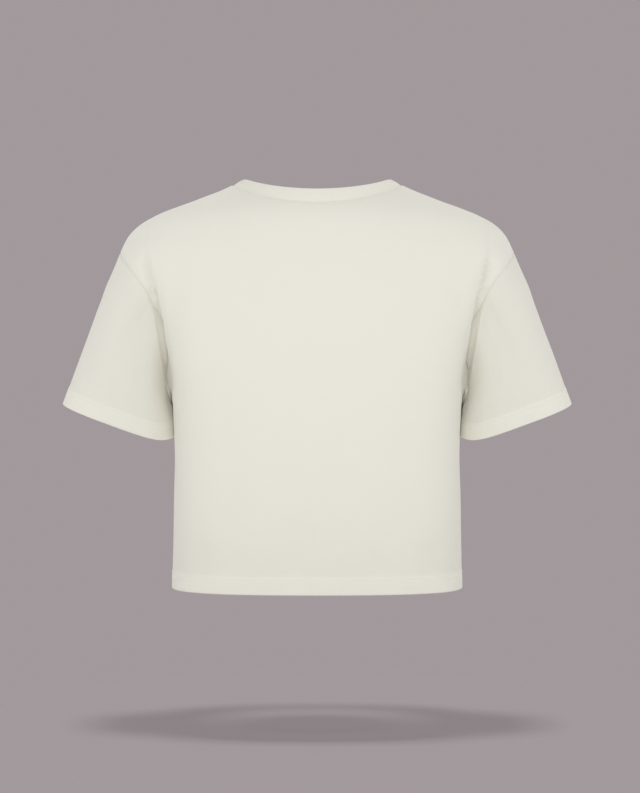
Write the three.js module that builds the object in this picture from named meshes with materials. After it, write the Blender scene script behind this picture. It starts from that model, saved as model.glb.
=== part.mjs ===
// A cropped, boxy, short-sleeved t-shirt with dropped shoulders and a crew neck, hollow and
// filled out as it is when worn. Millimetres, +Z up, the front faces -Y. The origin lies
// midway between the neck ends of the two shoulder seams.
import * as THREE from "three";

// Cloth
const JERSEY_WALL = 1.2; // one layer of heavy cotton jersey
const HEM_WALL = 2.6; // jersey turned up on itself at the hem and the cuffs
const RIB_WALL = 2.0; // neckband, folded double
const SEAM_GAP = 0.34; // free space between two sewn pieces, so that facets leave 0.3
const FLAT_TOGETHER = 0.5; // agreement of two outward directions, below which a seam is a sharp fold
const HEM_TURN = 19.5; // height of the turned-up hem, and of each sleeve hem
const HEM_STEP = 1; // height in which the turned-up layer ends

// Body
const HEM_Z = -456;
const BLEND_LOW_Z = -242; // below this height the body and the sleeves are apart
const BODY_SECTIONS = [
  // z: height; half: half the width; back, front: depths behind and before the side seams;
  // square: how square the section is, where 2 is an ellipse
  { z: 12, half: 80, back: 6, front: 6, square: 2 },
  { z: 0, half: 96, back: 16, front: 16, square: 2 },
  { z: -9, half: 114, back: 37, front: 32, square: 2 },
  { z: -18, half: 136.5, back: 56, front: 46, square: 2 },
  { z: -27, half: 160.5, back: 71, front: 56, square: 2 },
  { z: -36, half: 183, back: 81, front: 64, square: 2.05 },
  { z: -46, half: 200.5, back: 88, front: 71, square: 2.1 },
  { z: -60, half: 214, back: 95, front: 79, square: 2.15 },
  { z: -75, half: 220, back: 101, front: 86, square: 2.25 },
  { z: -95, half: 214, back: 108, front: 94, square: 2.35 },
  { z: -125, half: 196, back: 115, front: 107, square: 2.6 },
  { z: -160, half: 183, back: 120, front: 119, square: 2.85 },
  { z: -200, half: 172, back: 123, front: 127, square: 3 },
  { z: -242, half: 164, back: 124, front: 130, square: 3 },
  { z: -297, half: 160, back: 124, front: 130, square: 2.9 },
  { z: -360, half: 161.7, back: 123, front: 128, square: 2.8 },
  { z: HEM_Z, half: 163.5, back: 122, front: 126, square: 2.75 },
];

// Sleeves, given for the one at +X
const SLEEVE_SLANT = THREE.MathUtils.degToRad(20.2); // away from straight down
const SLEEVE_SWING = THREE.MathUtils.degToRad(3.4); // forwards
const CUFF_CENTRE = new THREE.Vector3(234, -3, -268.5);
const SLEEVE_SECTIONS = [
  // rise: distance from the cuff; outer, inner: half widths away from the body and towards it;
  // deep: half the depth
  { rise: -30, outer: 57.4, inner: 89.7, deep: 54 },
  { rise: 0, outer: 57.4, inner: 77.3, deep: 54 },
  { rise: 20, outer: 57.4, inner: 68.8, deep: 55 },
  { rise: 38, outer: 57.3, inner: 61, deep: 56 },
  { rise: 60, outer: 57.2, inner: 57, deep: 57 },
  { rise: 120, outer: 56.6, inner: 56.6, deep: 62 },
  { rise: 160, outer: 56, inner: 56, deep: 66 },
  { rise: 188, outer: 43, inner: 43, deep: 56 },
  { rise: 204, outer: 26, inner: 26, deep: 36 },
  { rise: 214, outer: 8, inner: 8, deep: 10 },
];
const SLEEVE_SQUARE = 2.5; // how square the sleeve's section is
const SLEEVE_HEAD = 150; // rise above which the sections only close the form inside the shoulder
const CUFF_LIFT = 15; // how far the sleeve's hem rises at its inner end, against the body
const CUFF_LIFT_EASE = 5; // how closely that rise keeps to the inner end
const SHOULDER_BLEND = 18; // how softly the body runs into the top of the sleeve
const LEAST_BLEND = 0.01; // the same where the two are apart

// The sleeve's inner side lies along the body's side below the underarm.
const PRESS = 7; // how much further in the sleeve would reach if the body weren't there
const PRESS_RISES = { from: 30, to: 75 }; // rises over which that dies away
const PRESS_BEGIN = { from: 4, to: 22 }; // distances down from the armhole seam where it begins
const PRESS_CLEAR = 0.9; // free space between the body and the sleeve that lies along it
const PRESS_START = { from: -8, to: 12 }; // distances under the underarm where that space opens
const PRESS_END = { from: 20, to: 45 }; // distances above it where the sleeve leaves the body

// Armhole: where the sleeve seam lies, and the fold that the cloth makes beside it
const ARMHOLE_CENTRE_Z = -160;
const ARMHOLE_REACH = 140; // further from its centre than any point of the armhole
const ARMHOLE_SEAM = [
  // z: height; x: how far out the seam is
  { z: -60, x: 229 },
  { z: -80, x: 222 },
  { z: -100, x: 206.5 },
  { z: -127, x: 187 },
  { z: -160, x: 175 },
  { z: -200, x: 168.5 },
  { z: -230, x: 165.1 },
  { z: -246, x: 163.6 },
  { z: -265, x: 162.4 },
  { z: -300, x: 161.5 },
];
const ARMHOLE_FOLD = [
  // z: height; x: how far out the fold is; depth: how deep the cloth tucks in there
  { z: -74, x: 189, depth: 0 },
  { z: -93, x: 186, depth: 1.5 },
  { z: -107, x: 182.5, depth: 2.5 },
  { z: -124, x: 180, depth: 4 },
  { z: -140, x: 179, depth: 6 },
  { z: -157, x: 177, depth: 7.5 },
  { z: -173, x: 175.2, depth: 8 },
  { z: -190, x: 172.9, depth: 8 },
  { z: -206, x: 170.5, depth: 7 },
  { z: -223, x: 167, depth: 4 },
  { z: -240, x: 165, depth: 0 },
  { z: -260, x: 165, depth: 0 },
];
const FOLD_REACH = 8; // half width of the fold
const FOLD_CLEAR = { from: 12, to: 34 }; // distances from the mid plane where the fold begins
const SEAM_FADE = 32; // how far down the sleeve the armhole's own shape dies away

// Neck
const NECK_HALF_WIDTH = 94.5;
const NECK_SIDE_Z = -1;
const NECK_BACK = { drop: 25, ease: 1.6 };
const NECK_FRONT = { drop: 91, ease: 1.3 };
const BAND_TOP = {
  halfWidth: 83,
  sideZ: 7.5,
  back: { drop: 18, ease: 1.5, inset: 0.9 },
  front: { drop: 86.5, ease: 1.3, inset: 0.937 },
};
const BAND_ROUND = { drop: 2.2, ease: 40 }; // how the top edge is rounded off at its sides
const BAND_BELLY = 0.5; // how far the rib bows outwards
const BAND_LEAN = 0.8; // how steeply upwards it bows, where 1 is half way up

// Facets
const NECK_STEPS = 7;
const SHOULDER_STEPS = 7;
const ARMHOLE_STEPS = 12;
const SIDE_STEPS = 9;
const SLEEVE_STEPS = 8;
const BAND_STEPS = 3;

// Searches for points of the form
const SLOPE_STEP = 0.5; // distance over which its slope is measured
const LEAST_SLOPE = 0.05; // the least squared slope that a step is divided by
const SETTLE_ROUNDS = 12;
const SEARCH_ROUNDS = 40;
const SHOULDER_SHARE = 0.6; // share of the height missing that each round makes up

const CLOTH_COLOUR = new THREE.Color(0.80, 0.78, 0.68);

// A smooth curve through the rows of a table: every column at the given value of one of them.
function readTable(rows, by, at) {
  const order = Math.sign(rows[1][by] - rows[0][by]);
  const last = rows.length - 1;
  let i = rows.findIndex((row) => (row[by] - at) * order > 0) - 1;
  if (i === -2) i = last - 1;
  i = Math.max(i, 0);
  const [a, b] = [rows[i], rows[i + 1]];
  const before = rows[Math.max(i - 1, 0)];
  const after = rows[Math.min(i + 2, last)];
  const span = b[by] - a[by];
  const t = THREE.MathUtils.clamp((at - a[by]) / span, 0, 1);
  const read = {};
  for (const column of Object.keys(a)) {
    const slopeA = ((b[column] - before[column]) / (b[by] - before[by])) * span;
    const slopeB = ((after[column] - a[column]) / (after[by] - a[by])) * span;
    read[column] =
      a[column] * (1 + t * t * (2 * t - 3)) +
      b[column] * t * t * (3 - 2 * t) +
      slopeA * t * (1 - t) * (1 - t) -
      slopeB * t * t * (1 - t);
  }
  return read;
}

// Signed distance, near enough, from the rounded section of a tube.
function sectionField(across, deep, halfAcross, halfDeep, square) {
  const reach =
    (Math.abs(across / halfAcross) ** square + Math.abs(deep / halfDeep) ** square) ** (1 / square);
  return (reach - 1) * Math.min(halfAcross, halfDeep);
}

function bodyField(p) {
  const row = readTable(BODY_SECTIONS, "z", p.z);
  return sectionField(p.x, p.y, row.half, p.y > 0 ? row.back : row.front, row.square);
}

// The sleeve's own directions: up its middle line, out across it, and back through it.
const SLEEVE_UP = new THREE.Vector3(
  -Math.sin(SLEEVE_SLANT),
  Math.sin(SLEEVE_SWING),
  Math.cos(SLEEVE_SLANT),
).normalize();
const SLEEVE_BACK = new THREE.Vector3(0, 1, 0).projectOnPlane(SLEEVE_UP).normalize();
const SLEEVE_OUT = new THREE.Vector3().crossVectors(SLEEVE_BACK, SLEEVE_UP);

function toSleeve(p) {
  const from = p.clone().sub(CUFF_CENTRE);
  return { rise: from.dot(SLEEVE_UP), out: from.dot(SLEEVE_OUT), back: from.dot(SLEEVE_BACK) };
}

function fromSleeve(rise, out, back) {
  return CUFF_CENTRE.clone()
    .addScaledVector(SLEEVE_UP, rise)
    .addScaledVector(SLEEVE_OUT, out)
    .addScaledVector(SLEEVE_BACK, back);
}

function sleeveField(p) {
  const { rise, out, back } = toSleeve(p);
  const row = readTable(SLEEVE_SECTIONS, "rise", rise);
  const across = out > 0 ? row.outer : row.inner;
  const beyond = Math.max(rise - SLEEVE_SECTIONS.at(-1).rise, 0);
  return sectionField(out, back, across, row.deep, SLEEVE_SQUARE) + beyond;
}

const between = (value, range) => THREE.MathUtils.smoothstep(value, range.from, range.to);

// The worn form at +X: the body run into the sleeve, with the fold along the armhole.
function formField(p) {
  const body = bodyField(p);
  const sleeve = sleeveField(p);
  const fold = readTable(ARMHOLE_FOLD, "z", p.z);
  const joined = THREE.MathUtils.smoothstep(p.z, BLEND_LOW_Z, ARMHOLE_CENTRE_Z);
  const blend = SHOULDER_BLEND * joined + LEAST_BLEND;
  const overlap = Math.max(blend - Math.abs(body - sleeve), 0);
  const across = Math.exp(-(((p.x - fold.x) / FOLD_REACH) ** 2));
  const tuck = fold.depth * across * between(Math.abs(p.y), FOLD_CLEAR);
  return Math.min(body, sleeve) - overlap ** 2 / (4 * blend) + tuck;
}

// Moves a point on to the worn form by the shortest way.
function settle(point) {
  const p = point.clone();
  for (let round = 0; round < SETTLE_ROUNDS; round++) {
    const slope = new THREE.Vector3();
    for (const axis of ["x", "y", "z"]) {
      const ahead = p.clone();
      const behind = p.clone();
      ahead[axis] += SLOPE_STEP;
      behind[axis] -= SLOPE_STEP;
      slope[axis] = (formField(ahead) - formField(behind)) / (2 * SLOPE_STEP);
    }
    p.addScaledVector(slope, -formField(p) / Math.max(slope.lengthSq(), LEAST_SLOPE));
  }
  return p;
}

// Seam lines at +X. side is 1 for the back of the shirt and -1 for its front.
function armholePoint(side, share) {
  const turn = Math.PI * share; // from the underarm to the top of the shoulder
  const at = (reach) => {
    const z = ARMHOLE_CENTRE_Z - reach * Math.cos(turn);
    return new THREE.Vector3(readTable(ARMHOLE_SEAM, "z", z).x, side * reach * Math.sin(turn), z);
  };
  let [inside, outside] = [0, ARMHOLE_REACH];
  for (let round = 0; round < SEARCH_ROUNDS; round++) {
    const middle = (inside + outside) / 2;
    if (formField(at(middle)) < 0) inside = middle;
    else outside = middle;
  }
  return at(inside);
}

function necklinePoint(side, share) {
  const turn = (Math.PI / 2) * share; // from the centre line to the shoulder seam
  const { drop, ease } = side > 0 ? NECK_BACK : NECK_FRONT;
  const z = NECK_SIDE_Z - drop * Math.cos(turn) ** ease;
  const x = NECK_HALF_WIDTH * Math.sin(turn);
  const row = readTable(BODY_SECTIONS, "z", z);
  const deep = side > 0 ? row.back : row.front;
  const y = deep * Math.max(1 - (x / row.half) ** row.square, 0) ** (1 / row.square);
  return new THREE.Vector3(x, share < 1 ? side * y : 0, z);
}

function shoulderPoint(share) {
  const [neck, tip] = [necklinePoint(1, 1), armholePoint(1, 1)];
  const p = neck.clone().lerp(tip, share);
  for (let round = 0; round < SEARCH_ROUNDS; round++) {
    p.z -= formField(p) * SHOULDER_SHARE;
  }
  return share === 1 ? tip : share === 0 ? neck : p;
}

function sectionPoint(z, side, share) {
  const row = readTable(BODY_SECTIONS, "z", z);
  const turn = (Math.PI / 2) * share;
  return new THREE.Vector3(
    row.half * Math.sin(turn) ** (2 / row.square),
    share < 1 ? side * (side > 0 ? row.back : row.front) * Math.cos(turn) ** (2 / row.square) : 0,
    z,
  );
}

// One half of a body panel: rows from hem to shoulder, each from the centre line outwards.
function panelHalf(side) {
  const columns = NECK_STEPS + SHOULDER_STEPS;
  const underarm = armholePoint(side, 0);
  const levels = [HEM_Z, HEM_Z + HEM_TURN - HEM_STEP, HEM_Z + HEM_TURN];
  for (let i = 1; i <= SIDE_STEPS; i++) {
    levels.push(THREE.MathUtils.lerp(HEM_Z + HEM_TURN, underarm.z, i / SIDE_STEPS));
  }
  const rows = levels.map((z) => {
    const row = [];
    for (let i = 0; i <= columns; i++) row.push(sectionPoint(z, side, i / columns));
    return row;
  });
  const low = rows.at(-1);
  low[columns].copy(underarm);
  const top = [];
  for (let i = 0; i <= columns; i++) {
    top.push(
      i <= NECK_STEPS
        ? necklinePoint(side, i / NECK_STEPS)
        : shoulderPoint((i - NECK_STEPS) / SHOULDER_STEPS),
    );
  }
  for (let j = 1; j < ARMHOLE_STEPS; j++) {
    const share = j / ARMHOLE_STEPS;
    const centre = sectionPoint(THREE.MathUtils.lerp(underarm.z, top[0].z, share), side, 0);
    const edge = armholePoint(side, share);
    const row = [];
    for (let i = 0; i <= columns; i++) {
      const u = i / columns;
      const p = low[i].clone().lerp(top[i], share);
      const centreShift = centre.clone().sub(low[0].clone().lerp(top[0], share));
      const edgeShift = edge.clone().sub(low[columns].clone().lerp(top[columns], share));
      p.addScaledVector(centreShift, 1 - u).addScaledVector(edgeShift, u);
      row.push(i === 0 ? centre : i === columns ? edge : settle(p));
    }
    rows.push(row);
  }
  rows.push(top);
  return rows;
}

const mirrored = (p) => new THREE.Vector3(-p.x, p.y, p.z);

function panelRows(side) {
  return panelHalf(side).map((half) => [...half.slice(1).reverse().map(mirrored), ...half]);
}

// Sleeve rows from the armhole seam to the cuff, each once round from the underarm by the back.
function sleeveRows() {
  const around = 2 * ARMHOLE_STEPS;
  const seam = [];
  for (let j = 0; j < around; j++) {
    const share = j <= ARMHOLE_STEPS ? j / ARMHOLE_STEPS : 2 - j / ARMHOLE_STEPS;
    seam.push(armholePoint(j <= ARMHOLE_STEPS ? 1 : -1, share));
  }
  const rows = [seam];
  const addRow = (share, height) => {
    const row = seam.map((p, j) => sleevePoint(p, j / around, share, height));
    rows.push(row.map((p) => besideBody(p, seam[0].z)));
  };
  for (let i = 1; i < SLEEVE_STEPS; i++) addRow(i / SLEEVE_STEPS, HEM_TURN);
  for (const height of [HEM_TURN, HEM_TURN - HEM_STEP, 0]) addRow(1, height);
  return rows;
}

// A point of the sleeve: share runs from the seam to the given height above the open edge, and
// the seam's own shape dies away towards the cuff.
function sleevePoint(seamPoint, around, share, height) {
  const start = toSleeve(seamPoint);
  const cuffTurn = 2 * Math.PI * around;
  const edge = CUFF_LIFT * Math.max(Math.cos(cuffTurn), 0) ** CUFF_LIFT_EASE;
  const rise = THREE.MathUtils.lerp(start.rise, edge + height, share);
  const gone = start.rise - rise;
  const seamRow = readTable(SLEEVE_SECTIONS, "rise", Math.min(start.rise, SLEEVE_HEAD));
  const seamAhead = -start.out / (start.out > 0 ? seamRow.outer : seamRow.inner);
  const seamBeside = start.back / seamRow.deep;
  const seamReach = sectionField(seamAhead, seamBeside, 1, 1, SLEEVE_SQUARE) + 1;
  const seamTurn = Math.atan2(
    signedPower(seamBeside, SLEEVE_SQUARE / 2),
    signedPower(seamAhead, SLEEVE_SQUARE / 2),
  );
  const nearTurn = seamTurn + 2 * Math.PI * Math.round((cuffTurn - seamTurn) / (2 * Math.PI));
  const turn = THREE.MathUtils.lerp(nearTurn, cuffTurn, share);
  const reach = 1 + (seamReach - 1) * Math.exp(-((gone / SEAM_FADE) ** 2));
  const row = readTable(SLEEVE_SECTIONS, "rise", Math.min(rise, SLEEVE_HEAD));
  const press = PRESS * between(gone, PRESS_BEGIN) * (1 - between(rise, PRESS_RISES));
  const across = Math.cos(turn) > 0 ? row.inner + press : row.outer;
  const ahead = signedPower(Math.cos(turn), 2 / SLEEVE_SQUARE);
  const beside = signedPower(Math.sin(turn), 2 / SLEEVE_SQUARE);
  return fromSleeve(rise, -across * reach * ahead, row.deep * reach * beside);
}

const signedPower = (value, power) => Math.sign(value) * Math.abs(value) ** power;

// Moves a lower point of the sleeve out of the body's side, and clear of it under the arm.
function besideBody(point, underarmZ) {
  const p = point.clone();
  const row = readTable(BODY_SECTIONS, "z", p.z);
  const deep = p.y > 0 ? row.back : row.front;
  const clear = PRESS_CLEAR * between(underarmZ - p.z, PRESS_START);
  const near = 1 - between(p.z - underarmZ, PRESS_END);
  for (let round = 0; round < SETTLE_ROUNDS; round++) {
    const way = new THREE.Vector3(
      (p.x / row.half) ** (row.square - 1) / row.half,
      signedPower(p.y / deep, row.square - 1) / deep,
      0,
    ).normalize();
    p.addScaledVector(way, near * Math.max(clear - bodyField(p), 0));
  }
  return p;
}

// Neckband rows from its seam up to its top edge, each once round from the centre back.
function bandRows() {
  const around = 4 * NECK_STEPS;
  const rows = [];
  for (let k = 0; k <= BAND_STEPS; k++) {
    const share = k / BAND_STEPS;
    const row = [];
    for (let j = 0; j < around; j++) {
      const quarter = Math.floor(j / NECK_STEPS);
      const step = j % NECK_STEPS;
      const near = (quarter % 2 ? NECK_STEPS - step : step) / NECK_STEPS;
      const side = quarter === 0 || quarter === 3 ? 1 : -1;
      const p = bandPoint(side, near, share);
      row.push(quarter < 2 ? p : mirrored(p));
    }
    rows.push(row);
  }
  return rows;
}

function bandPoint(side, near, share) {
  const seam = necklinePoint(side, near);
  const turn = (Math.PI / 2) * near;
  const { drop, ease, inset } = side > 0 ? BAND_TOP.back : BAND_TOP.front;
  const top = new THREE.Vector3(
    BAND_TOP.halfWidth * Math.sin(turn),
    seam.y * inset,
    BAND_TOP.sideZ - drop * Math.cos(turn) ** ease - BAND_ROUND.drop * Math.sin(turn) ** BAND_ROUND.ease,
  );
  const rib = top.clone().sub(seam);
  const start = SEAM_GAP / rib.length();
  const p = seam.clone().addScaledVector(rib, THREE.MathUtils.lerp(start, 1, share));
  const outwards = new THREE.Vector3(Math.sin(turn), side * Math.cos(turn), BAND_LEAN).normalize();
  return p.addScaledVector(outwards, 4 * BAND_BELLY * share * (1 - share));
}

// Outward directions for the points of several grids whose seams share points.
function sharedNormals(grids) {
  const sums = new Map();
  const key = (p) => [p.x, p.y, p.z].map((value) => value.toFixed(2)).join(" ");
  for (const { rows, closed } of grids) {
    const columns = rows[0].length;
    for (let r = 0; r + 1 < rows.length; r++) {
      for (let c = 0; c + (closed ? 0 : 1) < columns; c++) {
        const next = (c + 1) % columns;
        const corners = [rows[r][c], rows[r][next], rows[r + 1][next], rows[r + 1][c]];
        const normal = new THREE.Vector3().crossVectors(
          corners[2].clone().sub(corners[0]),
          corners[3].clone().sub(corners[1]),
        );
        for (const corner of corners) {
          const at = key(corner);
          if (!sums.has(at)) sums.set(at, new THREE.Vector3());
          sums.get(at).add(normal);
        }
      }
    }
  }
  return (p) => sums.get(key(p)).clone().normalize();
}

// A closed wall under a grid of points: wall(row) is its thickness. sewn says which of the first
// and the last row are sewn, and both sides of an open grid are. Sewn edges draw back over the
// cloth by half a seam gap. Where a seam is so sharp that two pieces lie flat together in it, they
// draw aside too, and each keeps its wall on its own side.
function clothWall({ rows, closed, normalOf, wall, sewn }) {
  const ownNormal = sharedNormals([{ rows, closed }]);
  const columns = rows[0].length;
  const outer = rows.map((row) => row.map((p) => p.clone()));
  const isFlatTogether = (p) => ownNormal(p).dot(normalOf(p)) < FLAT_TOGETHER;
  const pull = (r, c, towards) => {
    const p = rows[r][c];
    const way = towards.clone().sub(p).normalize();
    if (isFlatTogether(p)) way.add(normalOf(p)).sub(ownNormal(p));
    outer[r][c].addScaledVector(way, SEAM_GAP / 2);
  };
  const lastRow = rows.length - 1;
  for (let c = 0; c < columns; c++) {
    if (sewn.first) pull(0, c, rows[1][c]);
    if (sewn.last) pull(lastRow, c, rows[lastRow - 1][c]);
  }
  if (!closed) {
    for (let r = 0; r <= lastRow; r++) {
      pull(r, 0, rows[r][1]);
      pull(r, columns - 1, rows[r][columns - 2]);
    }
  }
  const inner = outer.map((row, r) =>
    row.map((p, c) => {
      const from = rows[r][c];
      const outside = isFlatTogether(from) ? ownNormal(from) : normalOf(from);
      return p.clone().addScaledVector(outside, -wall(r));
    }),
  );
  const points = [...outer.flat(), ...inner.flat()];
  const index = [];
  const layer = outer.length * columns;
  const at = (r, c) => r * columns + (c % columns);
  const quad = (a, b, c, d) => {
    const acrossBD = points[b].distanceTo(points[d]) < points[a].distanceTo(points[c]);
    index.push(...(acrossBD ? [a, b, d, b, c, d] : [a, b, c, a, c, d]));
  };
  const spans = closed ? columns : columns - 1;
  for (let c = 0; c < spans; c++) {
    for (let r = 0; r < lastRow; r++) {
      quad(at(r, c), at(r, c + 1), at(r + 1, c + 1), at(r + 1, c));
      quad(layer + at(r, c + 1), layer + at(r, c), layer + at(r + 1, c), layer + at(r + 1, c + 1));
    }
    quad(at(0, c + 1), at(0, c), layer + at(0, c), layer + at(0, c + 1));
    quad(at(lastRow, c), at(lastRow, c + 1), layer + at(lastRow, c + 1), layer + at(lastRow, c));
  }
  if (!closed) {
    for (let r = 0; r < lastRow; r++) {
      quad(at(r, 0), at(r + 1, 0), layer + at(r + 1, 0), layer + at(r, 0));
      const end = columns - 1;
      quad(at(r + 1, end), at(r, end), layer + at(r, end), layer + at(r + 1, end));
    }
  }
  const geometry = new THREE.BufferGeometry();
  geometry.setAttribute(
    "position",
    new THREE.Float32BufferAttribute(points.flatMap((p) => p.toArray()), 3),
  );
  geometry.setIndex(index);
  geometry.computeVertexNormals();
  return geometry;
}

function clothMesh(name, geometry) {
  const material = new THREE.MeshStandardMaterial({ color: CLOTH_COLOUR, roughness: 0.9, metalness: 0 });
  const mesh = new THREE.Mesh(geometry, material);
  mesh.name = name;
  return mesh;
}

// Each row runs so that the outside of the cloth is the side its quads are counted round.
const reversed = (rows) => rows.map((row) => [...row].reverse());
const skin = {
  back_panel: { rows: reversed(panelRows(1)), closed: false },
  front_panel: { rows: panelRows(-1), closed: false },
  sleeve_left: { rows: reversed(sleeveRows()).reverse(), closed: true },
  sleeve_right: { rows: sleeveRows().map((row) => row.map(mirrored)).reverse(), closed: true },
};
const skinNormal = sharedNormals(Object.values(skin));
const hemRows = 2; // rows of points, at the open edge, that lie on the turned-up layer
const jersey = (row) => (row < hemRows ? HEM_WALL : JERSEY_WALL);

const shirt = new THREE.Group();
for (const [name, { rows, closed }] of Object.entries(skin)) {
  const sewn = { first: false, last: true };
  shirt.add(clothMesh(name, clothWall({ rows, closed, normalOf: skinNormal, wall: jersey, sewn })));
}
const band = { rows: reversed(bandRows()), closed: true };
shirt.add(
  clothMesh(
    "neckband",
    clothWall({
      ...band,
      normalOf: sharedNormals([band]),
      wall: () => RIB_WALL,
      sewn: { first: false, last: false },
    }),
  ),
);
export default shirt;
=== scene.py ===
import functools
import math

import bpy
import numpy as np
from bpy.props import FloatProperty, FloatVectorProperty, IntProperty, PointerProperty
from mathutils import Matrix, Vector


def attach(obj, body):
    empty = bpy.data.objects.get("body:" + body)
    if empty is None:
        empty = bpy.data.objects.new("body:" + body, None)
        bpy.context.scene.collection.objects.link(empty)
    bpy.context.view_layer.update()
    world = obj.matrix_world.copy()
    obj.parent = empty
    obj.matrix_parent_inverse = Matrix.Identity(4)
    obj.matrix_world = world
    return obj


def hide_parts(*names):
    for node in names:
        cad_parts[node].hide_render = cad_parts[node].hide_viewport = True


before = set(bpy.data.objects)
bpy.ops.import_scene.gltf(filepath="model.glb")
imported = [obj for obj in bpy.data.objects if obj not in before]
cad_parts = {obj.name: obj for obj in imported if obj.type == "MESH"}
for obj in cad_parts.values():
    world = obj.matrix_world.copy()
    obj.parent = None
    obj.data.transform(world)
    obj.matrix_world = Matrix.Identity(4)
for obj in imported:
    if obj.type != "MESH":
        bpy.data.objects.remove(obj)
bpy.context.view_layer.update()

# A cropped, boxy t-shirt in cream jersey, built round its packed frame as an add-on: each operator
# makes one piece or one group of like pieces. Shapes are worked out in millimetres in the frame's
# own axes, +Z up and the front towards -Y, and turned into metres when a mesh is made.

bl_info = {
    "name": "Cropped jersey t-shirt",
    "version": (1, 0, 0),
    "blender": (4, 5, 0),
    "location": "3D View > Sidebar > T-shirt",
    "description": "Sews a filled-out cropped t-shirt: panels, sleeves, neckband, seams and stitches",
    "category": "Object",
}

MM = 0.001
BODY = "root"


# ---------------------------------------------------------------- the worn form, in millimetres

class Table:
    """A short table with named columns, read as smooth curves against its first column."""

    def __init__(self, columns, *rows):
        self.rows = np.array(rows, float)
        if self.rows.shape[1] != len(columns.split()):
            raise ValueError(f"a row doesn't fit its columns: {columns}")
        self.order = np.sign(self.rows[1, 0] - self.rows[0, 0])

    def read(self, at):
        """The other columns, in order, where the first one has the values at."""
        rows, last = self.rows, len(self.rows) - 1
        at = np.asarray(at, float)
        i = np.searchsorted(rows[:, 0] * self.order, at * self.order, side="right") - 1
        i = np.clip(i, 0, last - 1)
        a, b = rows[i], rows[i + 1]
        before, after = rows[np.maximum(i - 1, 0)], rows[np.minimum(i + 2, last)]
        span = (b[..., :1] - a[..., :1])
        t = np.clip((at[..., None] - a[..., :1]) / span, 0, 1)
        slope_a = (b - before) / (b[..., :1] - before[..., :1]) * span
        slope_b = (after - a) / (after[..., :1] - a[..., :1]) * span
        value = a * (1 + t * t * (2 * t - 3)) + b * t * t * (3 - 2 * t)
        value = value + slope_a * t * (1 - t) ** 2 - slope_b * t * t * (1 - t)
        return np.moveaxis(value[..., 1:], -1, 0)


HEM_Z = -456
HEM_TURN = 19.5  # height of the turned-up hem, and of each sleeve hem
BODY_SECTIONS = Table(
    "z half back front square",
    (12, 80, 6, 6, 2),
    (0, 96, 16, 16, 2),
    (-9, 114, 37, 32, 2),
    (-18, 136.5, 56, 46, 2),
    (-27, 160.5, 71, 56, 2),
    (-36, 183, 81, 64, 2.05),
    (-46, 200.5, 88, 71, 2.1),
    (-60, 214, 95, 79, 2.15),
    (-75, 220, 101, 86, 2.25),
    (-95, 214, 108, 94, 2.35),
    (-125, 196, 115, 107, 2.6),
    (-160, 183, 120, 119, 2.85),
    (-200, 172, 123, 127, 3),
    (-242, 164, 124, 130, 3),
    (-297, 160, 124, 130, 2.9),
    (-360, 161.7, 123, 128, 2.8),
    (HEM_Z, 163.5, 122, 126, 2.75),
)
BLEND_LOW_Z = -242  # below this height the body and the sleeves are apart

SLEEVE_SLANT = math.radians(20.2)  # away from straight down
SLEEVE_SWING = math.radians(3.4)  # forwards
CUFF_CENTRE = np.array((234, -3, -268.5))
SLEEVE_HEAD = 150  # rise above which the sections only close the form inside the shoulder
CUFF_LIFT = 15  # how far the sleeve's hem rises at its inner end, against the body
CUFF_LIFT_EASE = 5  # how closely that rise keeps to the inner end
PRESS = 7  # how much further in the sleeve's hem would reach if the body weren't there
PRESS_RISES = (30, 75)  # rises over which that dies away
PRESS_BEGIN = (4, 22)  # distances down from the armhole seam over which it begins
PRESS_CLEAR = 0.9  # free space between the body and the sleeve that lies along it
PRESS_START = (-8, 12)  # distances under the underarm over which that space opens
PRESS_END = (20, 45)  # distances above the underarm over which the sleeve leaves the body's side
SLEEVE_SECTIONS = Table(
    "rise outer inner deep",
    (-30, 57.4, 89.7, 54),
    (0, 57.4, 77.3, 54),
    (20, 57.4, 68.8, 55),
    (38, 57.3, 61, 56),
    (60, 57.2, 57, 57),
    (120, 56.6, 56.6, 62),
    (160, 56, 56, 66),
    (188, 43, 43, 56),
    (204, 26, 26, 36),
    (214, 8, 8, 10),
)
SLEEVE_SQUARE = 2.5  # how square the sleeve's section is
OWN_OUTWARD = (4, 14)  # distances from its seam over which a sleeve's outside becomes its own
SHOULDER_BLEND = 18  # how softly the body runs into the top of the sleeve
LEAST_BLEND = 0.01  # the same where the two are apart

ARMHOLE_CENTRE_Z = -160
ARMHOLE_SEAM = Table(
    "z x",
    (-60, 229),
    (-80, 222),
    (-100, 206.5),
    (-127, 187),
    (-160, 175),
    (-200, 168.5),
    (-230, 165.1),
    (-246, 163.6),
    (-265, 162.4),
    (-300, 161.5),
)
ARMHOLE_FOLD = Table(
    "z x depth",
    (-74, 189, 0),
    (-93, 186, 1.5),
    (-107, 182.5, 2.5),
    (-124, 180, 4),
    (-140, 179, 6),
    (-157, 177, 7.5),
    (-173, 175.2, 8),
    (-190, 172.9, 8),
    (-206, 170.5, 7),
    (-223, 167, 4),
    (-240, 165, 0),
    (-260, 165, 0),
)
FOLD_REACH = 8  # half width of the fold along the armhole
FOLD_CLEAR = (12, 34)  # distances from the mid plane between which the fold begins
SEAM_FADE = 32  # how far down the sleeve the armhole's own shape dies away
ARMHOLE_REACH = 140  # further from its centre than any point of the armhole

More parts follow.
